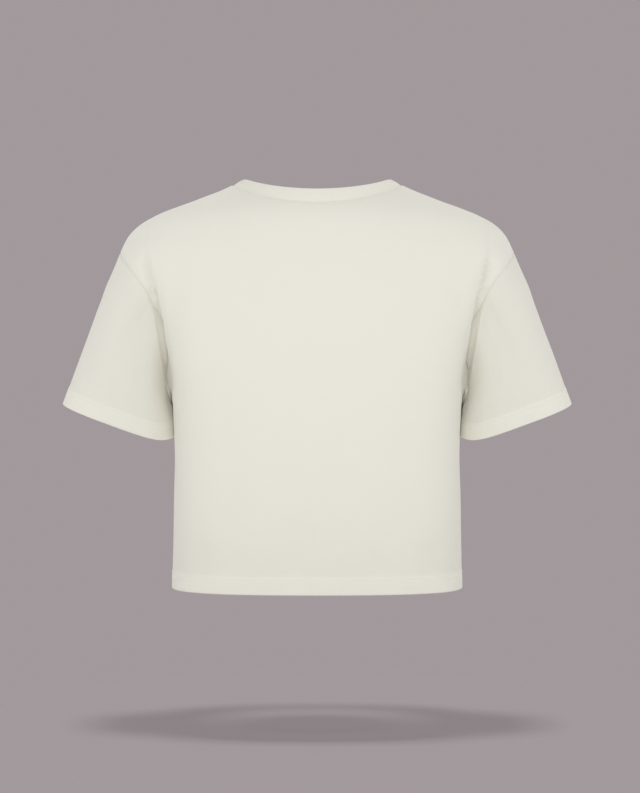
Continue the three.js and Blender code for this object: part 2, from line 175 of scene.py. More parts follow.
NECK_HALF_WIDTH = 94.5
NECK_SIDE_Z = -1
NECK_DROP = {1: (25, 1.6), -1: (91, 1.3)}  # back and front: how far the neckline drops, its ease
BAND_TOP_HALF_WIDTH = 83
BAND_TOP_SIDE_Z = 7.5
BAND_TOP_ROUND = 2.2  # how far the top edge is rounded off at its sides
BAND_TOP_DROP = {1: (18, 1.5, 0.9), -1: (86.5, 1.3, 0.937)}  # drop, ease, and inset towards +-Y
BAND_TOP_CORNER = 40  # how closely the top edge's rounding keeps to its sides
BAND_BELLY = 0.5  # how far the rib bows outwards
RIB_ENDS = 0.3  # how soon the ribs flatten out at the band's seam

SLOPE_STEP = 0.5  # distance over which the form's slope is measured
LEAST_SLOPE = 0.05  # the least squared slope that a step is divided by
SETTLE_ROUNDS = 12
SEARCH_ROUNDS = 40
SHOULDER_SHARE = 0.6  # share of the height missing that each round makes up
LIE_ROUNDS = 4


def smoothstep(value, low, high):
    """0 below low, 1 above high, and an even S between them."""
    t = np.clip((value - low) / (high - low), 0, 1)
    return t * t * (3 - 2 * t)


def unit(vectors):
    """The same directions, each of length 1."""
    return vectors / np.maximum(np.linalg.norm(vectors, axis=-1, keepdims=True), 1e-9)


SLEEVE_UP = unit(np.array((-math.sin(SLEEVE_SLANT), math.sin(SLEEVE_SWING), math.cos(SLEEVE_SLANT))))
SLEEVE_BACK = unit(np.array((0, 1, 0)) - SLEEVE_UP[1] * SLEEVE_UP)
SLEEVE_OUT = np.cross(SLEEVE_BACK, SLEEVE_UP)


def runs(points, axis):
    """How far each point is along its line, for lines that run along that axis of a grid."""
    steps = np.linalg.norm(np.diff(points, axis=axis), axis=-1)
    return np.cumsum(np.insert(steps, 0, 0, axis=axis), axis=axis)


def signed_power(value, power):
    """A power of a value's size, with the value's sign."""
    return np.sign(value) * np.abs(value) ** power


def reach_of(across, deep, square):
    """How far out a point is from the middle of a rounded section, which is at 1."""
    return (np.abs(across) ** square + np.abs(deep) ** square) ** (1 / square)


def to_sleeve(p):
    """How far points are up, out across and back through the left sleeve from its cuff's centre."""
    away = p - CUFF_CENTRE
    return away @ SLEEVE_UP, away @ SLEEVE_OUT, away @ SLEEVE_BACK


def from_sleeve(rise, out, back):
    """The points that are that far up, out and back."""
    return (CUFF_CENTRE + rise[..., None] * SLEEVE_UP
            + out[..., None] * SLEEVE_OUT + back[..., None] * SLEEVE_BACK)


def section_field(across, deep, half_across, half_deep, square):
    """Signed distance, near enough, from the rounded section of a tube."""
    reach = reach_of(across / half_across, deep / half_deep, square)
    return (reach - 1) * np.minimum(half_across, half_deep)


def form_field(p):
    """Signed distance, near enough, from the worn form on the +X side."""
    half, back, front, square = BODY_SECTIONS.read(p[..., 2])
    body = section_field(p[..., 0], p[..., 1], half, np.where(p[..., 1] > 0, back, front), square)
    rise, out, through = to_sleeve(p)
    outer, inner, deep = SLEEVE_SECTIONS.read(rise)
    sleeve = section_field(out, through, np.where(out > 0, outer, inner), deep, SLEEVE_SQUARE)
    sleeve = sleeve + np.maximum(rise - SLEEVE_SECTIONS.rows[-1, 0], 0)
    fold_x, fold = ARMHOLE_FOLD.read(p[..., 2])
    blend = SHOULDER_BLEND * smoothstep(p[..., 2], BLEND_LOW_Z, ARMHOLE_CENTRE_Z) + LEAST_BLEND
    overlap = np.maximum(blend - np.abs(body - sleeve), 0)
    tuck = fold * np.exp(-((p[..., 0] - fold_x) / FOLD_REACH) ** 2)
    tuck = tuck * smoothstep(np.abs(p[..., 1]), *FOLD_CLEAR)
    return np.minimum(body, sleeve) - overlap ** 2 / (4 * blend) + tuck


def form_slope(p, step=SLOPE_STEP):
    """How the form's field grows along X, Y and Z on the +X side."""
    return np.stack(
        [(form_field(p + step * axis) - form_field(p - step * axis)) / (2 * step)
         for axis in np.eye(3)], axis=-1)


def settle(p):
    """Moves points on to the worn form by the shortest way."""
    for _ in range(SETTLE_ROUNDS):
        slope = form_slope(p)
        steep = np.maximum((slope ** 2).sum(-1), LEAST_SLOPE)
        p = p - slope * (form_field(p) / steep)[..., None]
    return p


def outward(p):
    """The directions out of the form on both its sides, the same for every piece that meets there."""
    mirror = np.where(p[..., :1] < 0, -1, 1) * (1, 0, 0) + (0, 1, 1)
    return unit(form_slope(p * mirror)) * mirror


def armhole_line(side, share):
    """The armhole seam at +X, from the underarm, share 0, to the top of the shoulder, share 1."""
    turn = math.pi * np.asarray(share, float)

    def at(reach):
        z = ARMHOLE_CENTRE_Z - reach * np.cos(turn)
        return np.stack([ARMHOLE_SEAM.read(z)[0], side * reach * np.sin(turn), z], axis=-1)

    inside, outside = np.zeros_like(turn), np.full_like(turn, ARMHOLE_REACH)
    for _ in range(SEARCH_ROUNDS):
        middle = (inside + outside) / 2
        within = form_field(at(middle)) < 0
        inside, outside = np.where(within, middle, inside), np.where(within, outside, middle)
    return at(inside)


def neckline(side, share):
    """The neckband's seam at +X, from the centre line, share 0, to the shoulder seam, share 1."""
    turn = math.pi / 2 * np.asarray(share, float)
    drop, ease = NECK_DROP[side]
    z = NECK_SIDE_Z - drop * np.maximum(np.cos(turn), 0) ** ease
    x = NECK_HALF_WIDTH * np.sin(turn)
    half, back, front, square = BODY_SECTIONS.read(z)
    y = (back if side > 0 else front) * np.maximum(1 - (x / half) ** square, 0) ** (1 / square)
    return np.stack([x, np.where(share < 1, side * y, 0), z], axis=-1)


def shoulder_line(share):
    """The shoulder seam at +X, from the neck, share 0, to the top of the armhole, share 1."""
    share = np.asarray(share, float)
    neck, tip = neckline(1, np.array([1.0]))[0], armhole_line(1, np.array([1.0]))[0]
    p = neck + share[:, None] * (tip - neck)
    for _ in range(SEARCH_ROUNDS):
        p[:, 2] -= form_field(p) * SHOULDER_SHARE
    p[share == 0], p[share == 1] = neck, tip
    return p


def body_ring(z, side, share):
    """The body's section at height z, from the centre line, share 0, to the side seam, share 1."""
    half, back, front, square = BODY_SECTIONS.read(np.asarray(z, float))
    turn = math.pi / 2 * np.asarray(share, float)
    x = half * np.sin(turn) ** (2 / square)
    y = side * (back if side > 0 else front) * np.maximum(np.cos(turn), 0) ** (2 / square)
    return np.stack([x, np.where(share < 1, y, 0), np.broadcast_to(z, x.shape)], axis=-1)


# ---------------------------------------------------------------- grids of cloth

NECK_STEPS, SHOULDER_STEPS, ARMHOLE_STEPS, SLEEVE_STEPS = 44, 44, 84, 64
HEM_ROW = 1.5  # height between two rows of points on a hem
HEM_ROWS = 16
SIDE_ROWS = 80


class Cloth:
    """A grid of points on a piece of cloth with its outward directions, in millimetres.

    Rows run up from the hem. across and up are distances over the cloth from its middle or first
    column and from its first row, and levels holds each row's height above the open edge.
    """

    def __init__(self, points, levels):
        self.points = points
        self.levels = np.asarray(levels, float)
        self.outward = outward(points)
        self.measure()

    def measure(self):
        """Works out the distances and the normals again from the points."""
        p = self.points
        along, rising = np.gradient(p, axis=1), np.gradient(p, axis=0)
        self.normals = unit(np.cross(along, rising))
        self.up, across = runs(p, 0), runs(p, 1)
        self.across = across - across[:, p.shape[1] // 2, None]

    def push(self, distance):
        """Moves the points outwards by a distance for each of them."""
        self.points = self.points + self.outward * distance[..., None]
        self.measure()


def panel_half(side):
    """One half of a body panel at +X, rows of points from the hem up to the shoulder seam."""
    columns = NECK_STEPS + SHOULDER_STEPS
    u = np.arange(columns + 1) / columns
    underarm = armhole_line(side, np.array([0.0]))[0]
    hem_top = HEM_Z + HEM_ROW * HEM_ROWS
    levels = np.concatenate([
        HEM_Z + HEM_ROW * np.arange(HEM_ROWS),
        np.linspace(hem_top, underarm[2], SIDE_ROWS + 1)])
    rows = body_ring(levels[:, None] * np.ones_like(u), side, u)
    rows[-1, -1] = underarm
    low = rows[-1]
    top = np.concatenate([
        neckline(side, np.arange(NECK_STEPS + 1) / NECK_STEPS),
        shoulder_line(np.arange(1, SHOULDER_STEPS + 1) / SHOULDER_STEPS)])
    share = np.arange(1, ARMHOLE_STEPS) / ARMHOLE_STEPS
    centre_z = underarm[2] + (top[0, 2] - underarm[2]) * share
    centre = body_ring(centre_z, side, np.zeros_like(share))
    edge = armhole_line(side, share)
    s = share[:, None, None]
    between = low + s * (top - low)
    to_centre = (centre - between[:, 0])[:, None] * (1 - u)[:, None]
    to_edge = (edge - between[:, -1])[:, None] * u[:, None]
    upper = settle(between + to_centre + to_edge)
    upper[:, 0], upper[:, -1] = centre, edge
    return np.concatenate([rows, upper, top[None]]), levels - HEM_Z


def panel_cloth(side):
    """A whole body panel, its columns running so that the outside is the right side."""
    half, levels = panel_half(side)
    other = half[:, :0:-1] * (-1, 1, 1)
    whole = np.concatenate([other, half], axis=1)
    if side > 0:
        whole = whole[:, ::-1]
    levels = np.concatenate([levels, levels[-1] + np.arange(1, len(whole) - len(levels) + 1)])
    return Cloth(whole, levels)


def sleeve_cloth(hand):
    """A sleeve, hand 1 at +X and -1 at -X: rows up from the cuff, each once round from underneath."""
    around = np.arange(2 * ARMHOLE_STEPS + 1) / (2 * ARMHOLE_STEPS)
    back = armhole_line(1, np.minimum(around[: ARMHOLE_STEPS + 1] * 2, 1))
    front = armhole_line(-1, np.minimum(around[: ARMHOLE_STEPS + 1] * 2, 1))
    seam = np.concatenate([back, front[-2::-1]])
    rise, out, through = to_sleeve(seam)
    outer, inner, deep = SLEEVE_SECTIONS.read(np.minimum(rise, SLEEVE_HEAD))
    across = np.where(out > 0, outer, inner)
    ahead, beside = -out / across, through / deep
    seam_reach = reach_of(ahead, beside, SLEEVE_SQUARE)
    half_square = SLEEVE_SQUARE / 2
    seam_turn = np.arctan2(signed_power(beside, half_square), signed_power(ahead, half_square))
    cuff_turn = math.tau * around
    seam_turn = seam_turn + math.tau * np.round((cuff_turn - seam_turn) / math.tau)
    hem = HEM_ROW * np.arange(HEM_ROWS)
    edge = CUFF_LIFT * np.maximum(np.cos(cuff_turn), 0) ** CUFF_LIFT_EASE
    hem_top = HEM_ROW * HEM_ROWS
    turned = edge + hem_top
    share = np.linspace(0, 1, SLEEVE_STEPS + 1)[:, None]
    rises = np.concatenate([edge + hem[:, None], turned + share * (rise - turned)])
    part = np.clip((rises - turned) / (rise - turned), 0, 1)
    keep = np.exp(-((rise - rises) / SEAM_FADE) ** 2)
    turn = cuff_turn + part * (seam_turn - cuff_turn)
    reach = 1 + (seam_reach - 1) * keep
    outer, inner, deep = SLEEVE_SECTIONS.read(np.minimum(rises, SLEEVE_HEAD))
    press = smoothstep(rise - rises, *PRESS_BEGIN) * (1 - smoothstep(rises, *PRESS_RISES))
    inner = inner + PRESS * press
    ahead, beside = np.cos(turn), np.sin(turn)
    across = np.where(ahead > 0, inner, outer)
    ahead, beside = signed_power(ahead, 1 / half_square), signed_power(beside, 1 / half_square)
    grid = from_sleeve(rises, -across * reach * ahead, deep * reach * beside)
    grid = lie_beside_body(grid, seam[0, 2])
    grid[-1] = seam
    if hand > 0:
        grid = grid[:, ::-1]
    else:
        grid = grid * (-1, 1, 1)
    cloth = Cloth(grid, np.concatenate([hem, hem_top + np.arange(SLEEVE_STEPS + 1)]))
    own = smoothstep(cloth.up[-1] - cloth.up, *OWN_OUTWARD)[..., None]
    cloth.outward = unit(cloth.outward * (1 - own) + cloth.normals * own)
    return cloth


def lie_beside_body(p, underarm_z):
    """Moves the sleeve's lower points out of the body's side, and clear of it under the arm."""
    half, back, front, square = BODY_SECTIONS.read(p[..., 2])
    deep = np.where(p[..., 1] > 0, back, front)
    for _ in range(LIE_ROUNDS):
        field = section_field(p[..., 0], p[..., 1], half, deep, square)
        clear = PRESS_CLEAR * smoothstep(underarm_z - p[..., 2], *PRESS_START)
        short = np.maximum(clear - field, 0) * (1 - smoothstep(p[..., 2] - underarm_z, *PRESS_END))
        way = np.stack([(p[..., 0] / half) ** (square - 1) / half,
                        signed_power(p[..., 1] / deep, square - 1) / deep,
                        np.zeros_like(half)], axis=-1)
        p = p + unit(way) * short[..., None]
    return p


FOLD_FLOOR = Table(  # the fold's floor: where its inner wall stands, its depth and its width
    "z x depth wide",
    (-74, 188, 0.8, 8),
    (-93, 184.3, 3.8, 10),
    (-107, 180.8, 4.5, 10),
    (-124, 177.3, 4.6, 9.5),
    (-140, 174.4, 5.2, 9),
    (-157, 171, 6.5, 9),
    (-173, 168.8, 6, 9),
    (-190, 166.6, 4.8, 9),
    (-206, 164.4, 4.2, 9),
    (-223, 162.6, 4, 9),
    (-240, 161.2, 3, 9),
    (-260, 160, 0, 9),
)
FOLD_WALL = 3  # width of the fold's steep inner wall


def shape_fold(cloth, strength):
    """Sinks the floor of the fold that runs down each armhole, deepest beside the body."""
    x, y, z = np.moveaxis(cloth.points, -1, 0)
    wall, depth, wide = FOLD_FLOOR.read(z)
    beyond = np.abs(x) - wall
    floor = smoothstep(beyond, 0, FOLD_WALL) * (1 - smoothstep(beyond, FOLD_WALL, wide))
    cloth.push(-strength * depth * floor * smoothstep(np.abs(y), *FOLD_CLEAR))


SEAM_LIP = 1.2  # how near to a seam the cloth begins to turn down into it
SEAM_TURN = 0.85  # how sharply it turns
NECK_SEAM_SHARE = 0.3  # the neck seam's depth as a share of the others'
NECK_SEAM_FADE = 6  # columns of points over which it takes on the shoulder seam's depth


def panel_seam_share():
    """How deep a panel's seams are, column by column: less along the neckline."""
    from_middle = np.abs(np.arange(2 * (NECK_STEPS + SHOULDER_STEPS) + 1) - NECK_STEPS - SHOULDER_STEPS)
    deeper = smoothstep(from_middle, NECK_STEPS, NECK_STEPS + NECK_SEAM_FADE)
    return NECK_SEAM_SHARE + (1 - NECK_SEAM_SHARE) * deeper


def shape_seams(cloth, depth, share=1):
    """Turns the cloth down into its seams: its top row, and its first and last columns."""
    p = cloth.points
    for edge, near in ((np.s_[-1], np.s_[-2]), (np.s_[:, 0], np.s_[:, 1]), (np.s_[:, -1], np.s_[:, -2])):
        p[near] = p[edge] + unit(p[near] - p[edge]) * SEAM_LIP
        cloth.outward[near] = cloth.outward[edge]
    cloth.measure()
    from_first = cloth.across - cloth.across[:, :1]
    from_last = cloth.across[:, -1:] - cloth.across
    distance = np.minimum(cloth.up[-1] - cloth.up, np.minimum(from_first, from_last))
    cloth.push(-depth * share * np.exp(-(distance / SEAM_TURN) ** 2))


STITCH_ROWS = (18.3, 13.5)  # heights of the two needle rows on every hem
HEM_STEP = (0.5, 4)  # heights over the upper row between which the doubled hem ends
PINCH = 0.14  # how far a row of stitches sinks in
PINCH_REACH = 1.3  # half width of that groove
PINCH_UNEVEN = 0.35  # how much its depth varies along it
PINCH_WAVES = (3.1, 7.7)  # lengths along it over which it varies


def shape_hem(cloth, lift):
    """Stands the doubled hem proud of the cloth, and sinks the two rows of stitches into it."""
    h = cloth.levels[:, None]
    step = lift * (1 - smoothstep(h - STITCH_ROWS[0], *HEM_STEP))
    for row in STITCH_ROWS:
        wave = np.sin(cloth.across / PINCH_WAVES[0] + row) * np.sin(cloth.across / PINCH_WAVES[1])
        step = step - PINCH * (1 + PINCH_UNEVEN * wave) * np.exp(-((h - row) / PINCH_REACH) ** 2)
    cloth.push(step)


# Creases are soft troughs and ridges, each along a bowed line between two places on the cloth.
# face: 1 behind, -1 in front; x0 z0 to x1 z1: its line; bow: how far it bends to one side;
# wide: half its width; lift: how far it stands out, or sinks in where negative.
CREASES = (
    # (face, x0, z0, x1, z1, bow, wide, lift)
    (1, 133, -120, 137, -425, 6, 19, 1.4),
    (1, 103, -150, 98, -440, -5, 17, -1.3),
    (1, -129, -140, -134, -410, -5, 18, 1.2),
    (1, -98, -170, -104, -436, 4, 16, -1.2),
    (1, 52, -330, 61, -452, 3, 20, 0.9),
    (1, -38, -300, -30, -452, -4, 22, 0.9),
    (1, 9, -380, 22, -437, 2, 9, -0.8),
    (1, -52, -398, -74, -435, 3, 8, -0.8),
    (1, 84, -405, 112, -434, -4, 8, -0.7),
    (1, -120, -400, -146, -452, 5, 11, -1.5),
    (1, 122, -398, 149, -452, -5, 11, -1.6),
    (1, 214, -128, 226, -222, 8, 10, 0.9),
    (1, 196, -150, 199, -246, -4, 7, -0.9),
    (1, 238, -150, 262, -236, 4, 10, -0.8),
    (1, -213, -132, -224, -215, -7, 10, 0.9),
    (1, -197, -155, -201, -240, 4, 7, -0.8),
    (1, -240, -156, -258, -240, -3, 9, -0.8),
    (-1, 150, -92, 96, -196, -8, 16, -1.4),
    (-1, -146, -96, -99, -188, 8, 15, -1.3),
    (-1, 118, -180, 131, -430, 7, 19, 1.4),
    (-1, -122, -190, -128, -420, -6, 20, 1.3),
    (-1, 80, -230, 88, -446, -5, 17, -1.3),
    (-1, -84, -215, -90, -440, 5, 16, -1.2),
    (-1, 14, -210, 26, -448, 5, 22, 0.9),
    (-1, -41, -360, -58, -436, 3, 9, -0.8),
    (-1, 121, -402, 148, -452, -5, 11, -1.5),
    (-1, -119, -398, -147, -452, 5, 11, -1.4),
    (-1, 216, -126, 229, -224, 7, 10, 0.9),
    (-1, 237, -160, 259, -238, 4, 10, -0.8),
    (-1, -215, -130, -227, -219, -7, 10, 0.9),
    (-1, -239, -152, -262, -236, -3, 9, -0.8),
)
EASE_WAVES = (  # (length across, length up, phase): broad unevenness that all hung jersey has
    (61, 190, 0.4), (83, 127, 2.1), (47, 260, 4.4), (138, 88, 1.3),
)
EASE_LIFT = 0.16
CREASE_ENDS = 0.8  # how bluntly a crease ends
CREASE_CLEAR = (2, 25)  # distances from the mid plane over which a face's creases begin


def crease_lift(points):
    """How far the creases and the broad unevenness move the cloth at those points."""
    x, y, z = np.moveaxis(points, -1, 0)
    lift = np.zeros_like(x)
    for face, x0, z0, x1, z1, bow, wide, height in CREASES:
        run = np.array((x1 - x0, z1 - z0), float)
        length = np.hypot(*run)
        ahead, beside = run / length, np.array((-run[1], run[0])) / length
        t = ((x - x0) * ahead[0] + (z - z0) * ahead[1]) / length
        off = (x - x0) * beside[0] + (z - z0) * beside[1] - bow * 4 * t * (1 - t)
        ends = np.clip(1 - (2 * t - 1) ** 2, 0, 1) ** CREASE_ENDS
        lift += height * ends * np.exp(-(off / wide) ** 2) * smoothstep(face * y, *CREASE_CLEAR)
    for across, up, phase in EASE_WAVES:
        lift += EASE_LIFT * np.sin(x / across * math.tau + phase) * np.sin(z / up * math.tau + 2 * phase)
    return lift


FOLD_TURNS = 8  # rows of points round the fold at the bottom of a hem
HEM_GAP = 0.2  # free space between the two layers of a hem


def turn_up(cloth, wall):
    """The grid of a piece with its hem: from the raw edge inside, round the fold, then up outside."""
    radius = wall + HEM_GAP / 2
    p, n = cloth.points, cloth.normals
    low = p[0] + (p[1] - p[0]) * (radius / HEM_ROW)
    rising = unit(p[1] - p[0])
    centre = low - n[0] * radius
    turned = [p[r] - n[r] * 2 * radius for r in range(1, len(p)) if cloth.levels[r] <= HEM_TURN]
    fold = [centre + radius * (n[0] * math.cos(a) - rising * math.sin(a))
            for a in math.pi * (1 - np.arange(FOLD_TURNS + 1) / FOLD_TURNS)]
    return np.concatenate([turned[::-1], fold, p[1:]])


# ---------------------------------------------------------------- meshes

SHARP_ANGLE = math.radians(75)  # edges that turn more than this keep their corner


def add_object(name, data):
    """A new object in the scene."""
    made = bpy.data.objects.new(name, data)
    bpy.context.collection.objects.link(made)
    return made


def grid_mesh(name, points, material, around=False, over=False):
    """A mesh from a grid of points in millimetres, with its UV map in metres of cloth.

    around joins the last column to the first one, and over joins the last row to the first one.
    """
    rows, columns = points.shape[:2]
    ring = np.concatenate([points, points[:1]]) if over else points
    ring = np.concatenate([ring, ring[:, :1]], axis=1) if around else ring
    r, c = np.meshgrid(np.arange(len(ring) - 1), np.arange(ring.shape[1] - 1), indexing="ij")
    after, above = (c + 1) % columns, (r + 1) % rows
    quads = np.stack([r * columns + c, r * columns + after, above * columns + after,
                      above * columns + c], axis=-1).reshape(-1, 4)
    mesh = bpy.data.meshes.new(name)
    mesh.from_pydata((points.reshape(-1, 3) * MM).tolist(), [], quads.tolist())
    across = runs(ring, 1)
    across = across - across[:, columns // 2, None]
    place = np.stack([across, runs(ring, 0)], axis=-1) * MM
    corners = np.stack([place[r, c], place[r, c + 1], place[r + 1, c + 1], place[r + 1, c]], axis=2)
    layer = mesh.uv_layers.new(name="cloth")
    layer.data.foreach_set("uv", corners.reshape(-1))
    mesh.polygons.foreach_set("use_smooth", np.ones(len(quads), bool))
    mesh.materials.append(material)
    mesh.update()
    return add_object(name, mesh)


def settle_mesh(piece, name):
    """Keeps what a piece's one modifier makes as its plain mesh, with crisp edges at its corners."""
    graph = bpy.context.evaluated_depsgraph_get()
    made = bpy.data.meshes.new_from_object(piece.evaluated_get(graph), depsgraph=graph)
    if not len(made.polygons):
        raise RuntimeError(f"{name}: its modifier made nothing")
    piece.modifiers.clear()
    before = piece.data
    piece.data = made
    bpy.data.meshes.remove(before)
    made.name = name
    made.set_sharp_from_angle(angle=SHARP_ANGLE)


def add_wall(piece, thickness):
    """Gives a sheet its thickness, inwards from its outside."""
    wall = piece.modifiers.new("wall", "SOLIDIFY")
    wall.thickness = thickness * MM
    wall.offset = -1
    wall.use_rim = True
    settle_mesh(piece, piece.name)


def finish_piece(piece, nodes=()):
    """Rides a piece on the one body, and hides the nodes that it stands for."""
    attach(piece, BODY)
    if nodes:
        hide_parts(*nodes)


def path_mesh(name, lines):
    """A mesh of edges only, from lines of points in millimetres."""
    points, edges = [], []
    for line in lines:
        edges.extend((len(points) + i, len(points) + i + 1) for i in range(len(line) - 1))
        points.extend((line * MM).tolist())
    mesh = bpy.data.meshes.new(name)
    mesh.from_pydata(points, edges, [])
    return add_object(name, mesh)


# ---------------------------------------------------------------- node trees

def put(tree, kind, links=None, **settings):
    """Adds a node. links gives an input either a value or the socket that feeds it."""
    node = tree.nodes.new(kind)
    for name, value in settings.items():
        setattr(node, name, value)
    for name, value in (links or {}).items():
        if isinstance(value, bpy.types.NodeSocket):
            tree.links.new(value, node.inputs[name])
        else:
            node.inputs[name].default_value = value
    return node


def sum_up(tree, operation, *values):
    """A Math node's result for its values."""
    return put(tree, "ShaderNodeMath", dict(enumerate(values)), operation=operation).outputs[0]


def scaled(tree, vector, factor):
    """A vector or colour made larger or smaller."""
    return put(tree, "ShaderNodeVectorMath", {0: vector, "Scale": factor}, operation="SCALE").outputs[0]


def new_nodes(name, inputs):
    """An empty Geometry Nodes tree with named inputs, and its input and output nodes."""
    tree = bpy.data.node_groups.new(name, "GeometryNodeTree")
    tree.interface.new_socket("Geometry", in_out="INPUT", socket_type="NodeSocketGeometry")
    for label, (kind, value) in inputs.items():
        socket = tree.interface.new_socket(label, in_out="INPUT", socket_type=f"NodeSocket{kind}")
        if value is not None:
            socket.default_value = value
    tree.interface.new_socket("Geometry", in_out="OUTPUT", socket_type="NodeSocketGeometry")
    return tree, tree.nodes.new("NodeGroupInput"), tree.nodes.new("NodeGroupOutput")


def end_nodes(tree, source, given, out):
    """Ends a tree: its instances are made real and take the material given."""
    real = put(tree, "GeometryNodeRealizeInstances", {"Geometry": source})
    smooth = put(tree, "GeometryNodeSetShadeSmooth", {"Geometry": real.outputs[0]})
    painted = put(tree, "GeometryNodeSetMaterial",
                  {"Geometry": smooth.outputs[0], "Material": given.outputs["Material"]})
    tree.links.new(painted.outputs[0], out.inputs[0])
    return tree


def stitch_nodes():
    """Separate stitches set one after another along a line, slightly uneven in length."""
    tree, given, out = new_nodes("stitches", {
        "Pitch": ("Float", 0.0028), "Length": ("Float", 0.0024), "Thread": ("Float", 0.00042),
        "Uneven": ("Float", 0.12), "Seed": ("Int", 7), "Material": ("Material", None)})
    line = put(tree, "GeometryNodeMeshToCurve", {"Mesh": given.outputs["Geometry"]})
    places = put(tree, "GeometryNodeCurveToPoints",
                 {"Curve": line.outputs[0], "Length": given.outputs["Pitch"]}, mode="LENGTH")
    bead = put(tree, "GeometryNodeMeshUVSphere", {"Segments": 6, "Rings": 5, "Radius": 0.5})
    low = sum_up(tree, "SUBTRACT", 1.0, given.outputs["Uneven"])
    high = sum_up(tree, "ADD", 1.0, given.outputs["Uneven"])
    uneven = put(tree, "FunctionNodeRandomValue",
                 {2: low, 3: high, "Seed": given.outputs["Seed"]}, data_type="FLOAT")
    long = sum_up(tree, "MULTIPLY", given.outputs["Length"], uneven.outputs[1])
    size = put(tree, "ShaderNodeCombineXYZ",
               {"X": given.outputs["Thread"], "Y": given.outputs["Thread"], "Z": long})
    sewn = put(tree, "GeometryNodeInstanceOnPoints",
               {"Points": places.outputs["Points"], "Instance": bead.outputs["Mesh"],
                "Rotation": places.outputs["Rotation"], "Scale": size.outputs[0]})
    return end_nodes(tree, sewn.outputs[0], given, out)


def thread_nodes():
    """One thread of even thickness along each line."""
    tree, given, out = new_nodes("threads", {
        "Thread": ("Float", 0.00036), "Sides": ("Int", 5), "Material": ("Material", None)})
    line = put(tree, "GeometryNodeMeshToCurve", {"Mesh": given.outputs["Geometry"]})
    half = sum_up(tree, "MULTIPLY", given.outputs["Thread"], 0.5)
    ring = put(tree, "GeometryNodeCurvePrimitiveCircle",
               {"Resolution": given.outputs["Sides"], "Radius": half}, mode="RADIUS")
    tube = put(tree, "GeometryNodeCurveToMesh",
               {"Curve": line.outputs[0], "Profile Curve": ring.outputs["Curve"], "Fill Caps": True})
    return end_nodes(tree, tube.outputs[0], given, out)


def rib_nodes():
    """Raises even ribs across a band, by the stored share of the way round it."""
    tree, given, out = new_nodes("ribs", {
        "Ribs": ("Float", 300.0), "Depth": ("Float", 0.00025), "Material": ("Material", None)})
    share = put(tree, "GeometryNodeInputNamedAttribute", {"Name": "around"}, data_type="FLOAT")
    level = put(tree, "GeometryNodeInputNamedAttribute", {"Name": "ribbing"}, data_type="FLOAT")
    turn = sum_up(tree, "MULTIPLY", sum_up(tree, "MULTIPLY", share.outputs[0],
                                           given.outputs["Ribs"]), math.tau)
    wave = sum_up(tree, "MULTIPLY", sum_up(tree, "COSINE", turn), level.outputs[0])
    lift = sum_up(tree, "MULTIPLY", wave, given.outputs["Depth"])
    normal = tree.nodes.new("GeometryNodeInputNormal")
    moved = put(tree, "GeometryNodeSetPosition", {
        "Geometry": given.outputs["Geometry"], "Offset": scaled(tree, normal.outputs[0], lift)})
    return end_nodes(tree, moved.outputs[0], given, out)


def grow(piece, tree, values):
    """Runs a tree on a piece once, and keeps the result as its plain mesh."""
    modifier = piece.modifiers.new("grow", "NODES")
    modifier.node_group = tree
    for item in tree.interface.items_tree:
        if item.item_type == "SOCKET" and item.in_out == "INPUT" and item.name in values:
            modifier[item.identifier] = values[item.name]
    settle_mesh(piece, piece.name)
    return piece


# ---------------------------------------------------------------- sewn pieces

RIB_WALL = 0.9
ALLOWANCE = 6.5  # width of the trimmed and overlocked cloth inside each seam
ALLOWANCE_START = 0.4  # distance from the seam at which it begins
ALLOWANCE_STEPS = 5
ALLOWANCE_SPARE = 4  # rows or columns of points by which it stops short of a corner
ALLOWANCE_CLEAR = 0.12  # free space between the panel's inside and the allowance
OVERLOCK_CLEAR = 0.15  # free space between the allowance and its overlocking
STITCH_LIFT = 0.08  # height of a needle stitch's middle over the cloth
LOOPER_CLEAR = 0.12  # free space between the hem's inside and its loopers


@functools.lru_cache(maxsize=None)
def sewn(kind, which, creases, hem_lift, seam_depth):
    """A piece as it hangs: a "panel", 1 behind and -1 in front, or a "sleeve", 1 at +X and -1 at -X."""
    cloth = panel_cloth(which) if kind == "panel" else sleeve_cloth(which)
    shape_fold(cloth, creases)
    cloth.push(creases * crease_lift(cloth.points))
    shape_seams(cloth, seam_depth, panel_seam_share() if kind == "panel" else 1)
    shape_hem(cloth, hem_lift)
    return cloth


def shaped(kind, which, settings):
    """A sewn panel or sleeve with the settings' creases, hem and seams."""
    return sewn(kind, which, settings.creases, settings.hem_lift / MM, settings.seam_depth / MM)


def at_distances(line, distances):
    """The points at those distances along a line."""
    run = runs(line, 0)
    return np.stack([np.interp(distances, run, line[:, axis]) for axis in range(3)], axis=-1)


def strip_inside(cloth, edge, rows, columns, depth):
    """A strip of cloth as wide as a seam's allowance along part of an edge, that far inside it."""
    points = (cloth.points - cloth.normals * depth)[rows, columns]
    distances = np.linspace(ALLOWANCE_START, ALLOWANCE, ALLOWANCE_STEPS)
    inwards = {"top": np.swapaxes(points[::-1], 0, 1), "first": points, "last": points[:, ::-1]}[edge]
    strip = np.stack([at_distances(line, distances) for line in inwards])
    return {"top": np.swapaxes(strip, 0, 1)[::-1], "first": strip, "last": strip[:, ::-1]}[edge]


def zigzag(first, second, step, closed=False):
    """A line that goes to and fro between two lines side by side."""
    sides = [np.concatenate([line, line[:1]]) if closed else line for line in (first, second)]
    lengths = [runs(line, 0)[-1] for line in sides]
    count = max(round(max(lengths) / step), 2) + 1
    sides = [at_distances(line, np.linspace(0, length, count)) for line, length in zip(sides, lengths)]
    turns = np.arange(count) % 2
    return np.where(turns[:, None] == 0, *sides)


